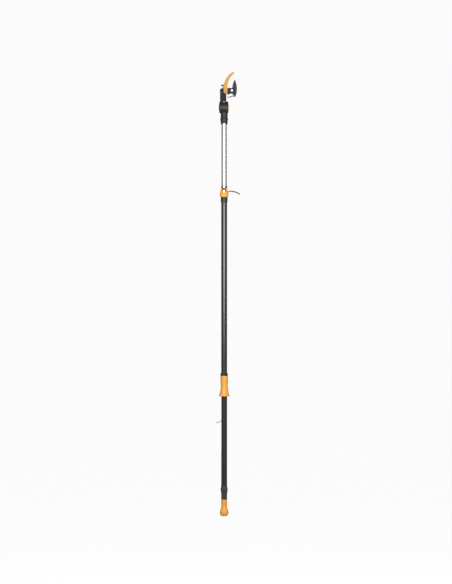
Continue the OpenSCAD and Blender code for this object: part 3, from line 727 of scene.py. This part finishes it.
class PRUNER_OT_butt(bpy.types.Operator):
    """Turns the butt knob and its soft collar"""
    bl_idname = "pruner.butt"
    bl_label = "Butt knob and collar"

    def execute(self, context):
        sizes = context.scene.pruner_sizes
        r = high("end_knob").x
        rows = KNOB_FOOT + spline(KNOB_CURVE, 4)[1:] + KNOB_CAP
        bm = lathe([(x * r / KNOB_R, z * MM) for x, z in rows], closed=False)
        for v in bm.verts:
            reach = math.hypot(v.co.x, v.co.y)
            level = v.co.z / MM
            hold = max(0.0, min(1.0, (level - 8) / 6, (36 - level) / 8)) if reach > 0.012 else 0.0
            wave = math.cos(KNOB_FLUTES * math.atan2(v.co.y, v.co.x))
            shrink = 1 - 0.018 * hold * (0.5 - 0.5 * wave) ** 3
            v.co.x *= shrink
            v.co.y *= shrink
        knob = piece("butt_knob", bm, "orange_plastic")
        pin_z = middle("knob_pin").z
        carve(knob, [rod(1.7 * MM, (0, -0.03, pin_z), (0, 0.03, pin_z), 32)])
        bevel(knob, 0.3 * MM)
        stand_for(knob, "end_knob")

        rows = [(-7, 0), (-0.9, 0), (-0.25, 0.4), (0, 1.2)]
        for ring in range(6):
            z = 4 + ring * 3.6
            rows += [(0, z), (-0.45, z + 0.5), (-0.45, z + 1.1), (0, z + 1.6)]
        rows += spline(COLLAR_CURVE, 4)
        rows += [(0.6, 72.6), (0.02, 73), (0.02, 33.7), (-7, 33.7)]
        bm = lathe(section(rows, POLE_R, low("end_collar").z))
        collar = piece("butt_collar", bm, "soft_black")
        bevel(collar, 0.2 * MM)
        stand_for(collar, "end_collar")
        dress_all(("knob_pin", "collar_rivets", "rod_bush"), sizes.edge * 0.6)
        return {"FINISHED"}


class PRUNER_OT_grip(bpy.types.Operator):
    """Spins the two halves of the pull grip, and its ring"""
    bl_idname = "pruner.grip"
    bl_label = "Pull grip"

    def execute(self, context):
        sizes = context.scene.pruner_sizes
        base = low("grip_front").z
        rows = [(0.3, 0.8)] + spline(GRIP_CURVE, 4) + [(3.5, 110.3), (2.6, 110.5), (0.3, 110.5)]
        screws = [rod(2.3 * MM, (POLE_R + 2.2 * MM, -0.05, base + z * MM),
                      (POLE_R + 2.2 * MM, 0.05, base + z * MM), 32) for z in GRIP_SCREW_LEVELS]
        for name, start in (("grip_front", math.pi), ("grip_back", 0.0)):
            bm = lathe(section(rows, POLE_R, base), angle=math.pi, start=start, steps=56)
            for v in bm.verts:
                reach = math.hypot(v.co.x, v.co.y)
                level = (v.co.z - base) / MM
                if reach > POLE_R + 1 * MM and 14 < level < 108:
                    waist = min(1.0, (level - 14) / 14, (108 - level) / 20)
                    fill = v.co.x / reach * waist * 0.8 * MM
                    ripple = 0.25 * MM * waist * math.sin(level * TURN / 9)
                    grow = (reach + fill + (ripple if 40 < level < 95 else 0)) / reach
                    v.co.x *= grow
                    v.co.y *= grow
            half = piece(name + "_moulding", bm, "orange_plastic")
            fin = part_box("grip_fin")
            slot_tool = bmesh.new()
            centre = (fin[0] + fin[1]) / 2
            size = fin[1] - fin[0]
            bmesh.ops.create_cube(slot_tool, size=1, matrix=Matrix.Translation(centre)
                                  @ Matrix.Diagonal((size.x, size.y, size.z, 1)))
            carve(half, [slot_tool] + [tool.copy() for tool in screws])
            bevel(half, 0.35 * MM, 3)
            stand_for(half, name)
        for tool in screws:
            tool.free()
        bm = lathe(section(CAP_RING, POLE_R, low("grip_ring").z), steps=3 * CAP_RING_TEETH)
        for v in bm.verts:
            reach = math.hypot(v.co.x, v.co.y)
            if reach > POLE_R + 3 * MM and reach < POLE_R + 3.5 * MM:
                wave = math.cos(CAP_RING_TEETH * math.atan2(v.co.y, v.co.x))
                grow = 1 + 0.018 * (wave > 0)
                v.co.x *= grow
                v.co.y *= grow
        ring = piece("grip_cap_ring", bm, "black_plastic")
        stand_for(ring, "grip_ring")
        dress_all(("grip_screws", "grip_fin", "fin_pins"), sizes.edge * 0.5)
        return {"FINISHED"}


class PRUNER_OT_lock(bpy.types.Operator):
    """Makes the telescope's lock: ring, ribbed collar and yoke"""
    bl_idname = "pruner.lock"
    bl_label = "Telescope lock"

    def execute(self, context):
        sizes = context.scene.pruner_sizes
        top = high("outer_tube").z
        base = low("lock_collar").z
        rows = [(0.01, 0), (2.8, 0), (3.6, 0.3)] + spline(LOCK_CURVE, 4)[1:]
        rows += [(0.8, 58.8), (0.01, 59)]
        bm = lathe(section(rows, POLE_R, base), steps=sizes.rib_count * 6)
        for v in bm.verts:
            reach = math.hypot(v.co.x, v.co.y)
            level = (v.co.z - base) / MM
            if reach > POLE_R + 2 * MM and 4 < level < 21:
                hold = min(1.0, (level - 4) / 3, (21 - level) / 4)
                wave = math.cos(sizes.rib_count * math.atan2(v.co.y, v.co.x))
                grow = 1 - 0.028 * hold * (0.5 - 0.5 * wave) ** 2
                v.co.x *= grow
                v.co.y *= grow
        collar = piece("lock_collar_moulding", bm, "orange_plastic")
        shoe = middle("brake_shoe").z
        stem = high("brake_shoe").x
        boss = rod(5.2 * MM, (POLE_R + 1 * MM, 0, shoe), (stem - 0.6 * MM, 0, shoe), 40)
        carve(collar, [boss], "UNION")
        window = [(x * MM, top + z * MM) for x, z in LOCK_WINDOW]
        carve(collar, [slab(window, -0.06, -0.002), slab(window, 0.002, 0.06),
                       rod(3.3 * MM, (0.005, 0, shoe), (0.06, 0, shoe), 32)])
        bevel(collar, 0.5 * MM, 3)
        stand_for(collar, "lock_collar")

        ring = piece("lock_ring_moulding", lathe(section(LOCK_RING, POLE_R, low("lock_ring").z)),
                     "grey_plastic")
        screw_z = middle("lock_screws").z
        carve(ring, [rod(3.1 * MM, (0, y * 0.0181, screw_z), (0, y * 0.06, screw_z), 36)
                     for y in (-1, 1)])
        bevel(ring, 0.25 * MM)
        stand_for(ring, "lock_ring")
        dress("lock_yoke", sizes.edge, 3)
        dress_all(("lock_screws", "brake_shoe"), sizes.edge * 0.6)
        return {"FINISHED"}


class PRUNER_OT_knuckle(bpy.types.Operator):
    """Rounds the two halves of the tilting knuckle"""
    bl_idname = "pruner.knuckle"
    bl_label = "Tilting knuckle"

    def execute(self, context):
        sizes = context.scene.pruner_sizes
        dress_all(("knuckle_left", "knuckle_right"), sizes.soft_edge, 3)
        dress_all(("knuckle_screws", "lever_pin", "roller_axles", "strap_rollers"),
                  sizes.edge * 0.5)
        return {"FINISHED"}


class PRUNER_OT_lever(bpy.types.Operator):
    """Shapes the orange tilt lever and its finger ribs"""
    bl_idname = "pruner.lever"
    bl_label = "Tilt lever"

    def execute(self, context):
        lever = piece("tilt_lever_moulding", merged_copy("tilt_lever"), "orange_plastic")
        box_low, box_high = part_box("tilt_lever")
        grooves = []
        for i in range(5):
            z = box_low.z + (6 + 4 * i) * MM
            grooves.append(rod(0.8 * MM, (box_high.x - 0.2 * MM - (5 - i) * 0.12 * MM, -0.007, z),
                               (box_high.x - 0.2 * MM - (5 - i) * 0.12 * MM, 0.007, z), 20))
        carve(lever, grooves)
        bevel(lever, 0.6 * MM, 3)
        stand_for(lever, "tilt_lever")
        return {"FINISHED"}


class PRUNER_OT_head(bpy.types.Operator):
    """Rounds the head's column and its bolt"""
    bl_idname = "pruner.head"
    bl_label = "Head column"

    def execute(self, context):
        sizes = context.scene.pruner_sizes
        for shell in ("head_front_shell", "head_back_shell"):
            dress(shell, sizes.edge, 3, "flat_black")
        dress_all(("head_tongue", "head_screws"), sizes.edge)
        bolt = dress("accessory_bolt", sizes.edge)
        bolt.data.materials.append(FINISHES["bright_steel"])
        under_head = high("accessory_bolt").z - BOLT_HEAD
        for face in bolt.data.polygons:
            if face.center.z < under_head:
                face.material_index = 1
        return {"FINISHED"}


class PRUNER_OT_hook(bpy.types.Operator):
    """Rounds the enamelled hook and the bridges beside it"""
    bl_idname = "pruner.hook"
    bl_label = "Hook and bridges"

    def execute(self, context):
        sizes = context.scene.pruner_sizes
        dress("hook", sizes.soft_edge * 0.8, 3)
        dress_all(("front_bridge", "back_bridge"), sizes.edge, 3)
        dress_all(("hook_screws", "pivot_bolt", "pivot_nut"), sizes.edge * 0.6)
        return {"FINISHED"}


class PRUNER_OT_blade(bpy.types.Operator):
    """Grinds the coated blade to its edge"""
    bl_idname = "pruner.blade"
    bl_label = "Blade"

    def execute(self, context):
        sizes = context.scene.pruner_sizes
        blade = piece("blade_ground", merged_copy("blade"), "blade_steel")
        front = low("blade").y
        back = high("blade").y
        centre = Vector((EDGE_X, 0, TILT.z + EDGE_UP))
        ring = lathe([(EDGE_R - sizes.grind, front - 0.01 * MM), (EDGE_R + 3 * MM, front - 1 * MM),
                      (EDGE_R + 3 * MM, back + 1.4 * MM), (EDGE_R, back - 0.5 * MM)], steps=180)
        bmesh.ops.rotate(ring, verts=ring.verts, cent=(0, 0, 0),
                         matrix=Matrix.Rotation(math.radians(-90), 3, "X"))
        bmesh.ops.translate(ring, verts=ring.verts, vec=centre)
        carve(blade, [ring])
        blade.data.materials.append(FINISHES["ground"])
        for face in blade.data.polygons:
            slanted = 0.15 < abs(face.normal.y) < 0.97
            if slanted and (face.center - centre).length > EDGE_R - sizes.grind * 1.1:
                face.material_index = 1
        bevel(blade, 0.2 * MM)
        stand_for(blade, "blade")
        dress_all(("blade_stud", "arm_pivot", "drive_link"), sizes.edge * 0.6)
        return {"FINISHED"}


class PRUNER_OT_springs(bpy.types.Operator):
    """Winds the blade's return spring and the lock's spring"""
    bl_idname = "pruner.springs"
    bl_label = "Springs"

    def execute(self, context):
        wire = context.scene.pruner_sizes.wire
        y = middle("return_spring").y
        post = middle("spring_anchor")
        stud = middle("blade_stud")
        a = Vector((high("spring_anchor").x - 1.5 * MM, y, post.z))
        b = Vector((stud.x, y, stud.z))
        along = (b - a).normalized()
        spring = coil("return_spring_coil", a + along * 1.2 * MM, b - along * 1.2 * MM, 2.6 * MM,
                      wire, 26, "spring_wire")
        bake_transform(spring)
        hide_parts("return_spring")
        box_low, box_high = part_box("shoe_spring")
        z = (box_low.z + box_high.z) / 2
        shoe = coil("shoe_spring_coil", (box_low.x, 0, z), (box_high.x, 0, z), 3.4 * MM, 0.6 * MM,
                    4, "bright_steel")
        stand_for(shoe, "shoe_spring")
        return {"FINISHED"}


class PRUNER_OT_straps(bpy.types.Operator):
    """Weaves the pull strap's stretches inside the pole"""
    bl_idname = "pruner.straps"
    bl_label = "Straps"

    def execute(self, context):
        wide = high("drive_strap").y - low("drive_strap").y
        box_low, box_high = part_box("drive_strap")
        drive = ribbon("drive_strap_woven", straight((0, 0, box_low.z), (0, 0, box_high.z), 0.004),
                       box_high.x - box_low.x, wide, "pale_webbing")
        for v in drive.data.vertices:
            v.co = Vector((v.co.y, -v.co.x, v.co.z))
        drive.data.update()
        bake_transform(drive)
        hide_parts("drive_strap")

        thick = high("lower_strap").x - low("lower_strap").x
        lower = ribbon("lower_strap_woven",
                       straight((middle("lower_strap").x, 0, low("lower_strap").z),
                                (middle("lower_strap").x, 0, high("lower_strap").z)),
                       high("lower_strap").y - low("lower_strap").y, thick, "pale_webbing")
        stand_for(lower, "lower_strap")

        big = Vector((0, 0, high("tackle_wheels").z - BIG_WHEEL))
        small = Vector((0, 0, low("tackle_wheels").z + SMALL_WHEEL))
        fixed = middle("fixed_roller")
        out_big = Vector((BIG_LAY + thick / 2, 0, 0))
        out_small = Vector((SMALL_LAY + thick / 2, 0, 0))
        first = (middle("lower_strap").x, 0, high("lower_strap").z)
        last = (0.0005, 0, high("tackle_pins").z + 2 * MM)
        route = straight(first, big - out_big, STRAP_STEP)
        route += half_turn(big, out_big.x, True, False)[1:]
        route += straight(big + out_big, fixed + out_small, STRAP_STEP)[1:]
        route += half_turn(fixed, out_small.x, False, True)[1:]
        route += straight(fixed - out_small, small - out_small, STRAP_STEP)[1:]
        route += half_turn(small, out_small.x, True, False)[1:]
        route += straight(small + out_small, last, STRAP_STEP)[1:]
        main = ribbon("main_strap_woven", route, high("main_strap").y - low("main_strap").y, thick,
                      "pale_webbing", 0.0)
        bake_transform(main)
        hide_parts("main_strap")
        return {"FINISHED"}


class PRUNER_OT_inside(bpy.types.Operator):
    """Finishes the carriage, the strap tackle and the bushes inside the pole"""
    bl_idname = "pruner.inside"
    bl_label = "Inner works"

    def execute(self, context):
        sizes = context.scene.pruner_sizes
        dress_all(("foot_bush", "carriage", "strap_buckle", "tackle_block", "tackle_wheels",
                   "tackle_axles", "fixed_roller", "tackle_pins", "spring_anchor"),
                  sizes.edge * 0.5)
        return {"FINISHED"}


class PRUNER_OT_stage(bpy.types.Operator):
    """Puts the tool in a wide pale bowl and sets the soft light"""
    bl_idname = "pruner.stage"
    bl_label = "Stage"

    def execute(self, context):
        flat, bend, wall = 60, 20, 120
        cove = []
        for degrees in range(0, 91, 10):
            a = math.radians(degrees)
            cove.append((flat + bend * math.sin(a), bend - bend * math.cos(a) - FLOOR_DROP))
        bm = lathe([(0, -FLOOR_DROP)] + cove + [(flat + bend, wall)], closed=False)
        mesh = bpy.data.meshes.new("floor")
        bm.to_mesh(mesh)
        bm.free()
        mesh.shade_smooth()
        white = Finish("pale_floor", (0.05, 0.05, 0.05), 0.9)
        white.shader.inputs["Specular IOR Level"].default_value = 0
        white.shader.inputs["Emission Color"].default_value = (1, 1, 1, 1)
        white.shader.inputs["Emission Strength"].default_value = 0.95
        mesh.materials.append(white.material)
        floor = bpy.data.objects.new("floor", mesh)
        floor.visible_glossy = False
        floor.visible_diffuse = False
        context.scene.collection.objects.link(floor)

        world = bpy.data.worlds.new("studio")
        context.scene.world = world
        world.use_nodes = True
        world.node_tree.nodes["Background"].inputs["Color"].default_value = (1, 1, 1, 1)
        world.node_tree.nodes["Background"].inputs["Strength"].default_value = 0.28
        context.scene.view_settings.view_transform = "Standard"
        self.light("front_panel", (0.0, -3.2, 1.95), (0, 0, 1.95), (3.8, 1.8), 100)
        fill = self.light("fill_panel", (1.2, -4.5, 1.2), (0, 0, 1.1), (2.5, 3.5), 50)
        fill.visible_glossy = False
        return {"FINISHED"}

    def light(self, name, place, aim, size, watts):
        data = bpy.data.lights.new(name, "AREA")
        data.shape = "RECTANGLE"
        data.size, data.size_y = size
        data.energy = watts
        lamp = bpy.data.objects.new(name, data)
        lamp.location = place
        lamp.rotation_euler = (Vector(aim) - Vector(place)).to_track_quat("-Z", "Y").to_euler()
        lamp.visible_camera = False
        bpy.context.scene.collection.objects.link(lamp)
        return lamp


STEPS = (PRUNER_OT_camera, PRUNER_OT_release_cord, PRUNER_OT_strap_tail, PRUNER_OT_tubes,
         PRUNER_OT_butt, PRUNER_OT_grip, PRUNER_OT_lock, PRUNER_OT_knuckle, PRUNER_OT_lever,
         PRUNER_OT_head, PRUNER_OT_hook, PRUNER_OT_blade, PRUNER_OT_springs, PRUNER_OT_straps,
         PRUNER_OT_inside, PRUNER_OT_stage)
GROUPS = (("pruner_colours", PRUNER_PG_colours), ("pruner_sizes", PRUNER_PG_sizes),
          ("pruner_stage", PRUNER_PG_stage))


class PRUNER_PT_panel(bpy.types.Panel):
    """Lists the steps that build the pruner"""
    bl_idname = "PRUNER_PT_panel"
    bl_label = "Pole Pruner"
    bl_space_type = "VIEW_3D"
    bl_region_type = "UI"
    bl_category = "Pole Pruner"

    def draw(self, context):
        for step in STEPS:
            self.layout.operator(step.bl_idname)


def register():
    for name, group in GROUPS:
        bpy.utils.register_class(group)
        setattr(bpy.types.Scene, name, PointerProperty(type=group))
    for cls in (*STEPS, PRUNER_PT_panel):
        bpy.utils.register_class(cls)


def unregister():
    for cls in (PRUNER_PT_panel, *reversed(STEPS)):
        bpy.utils.unregister_class(cls)
    for name, group in reversed(GROUPS):
        delattr(bpy.types.Scene, name)
        bpy.utils.unregister_class(group)


def main():
    register()
    for step in STEPS:
        category, name = step.bl_idname.split(".")
        getattr(getattr(bpy.ops, category), name)()
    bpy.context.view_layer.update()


if __name__ == "__main__":
    main()
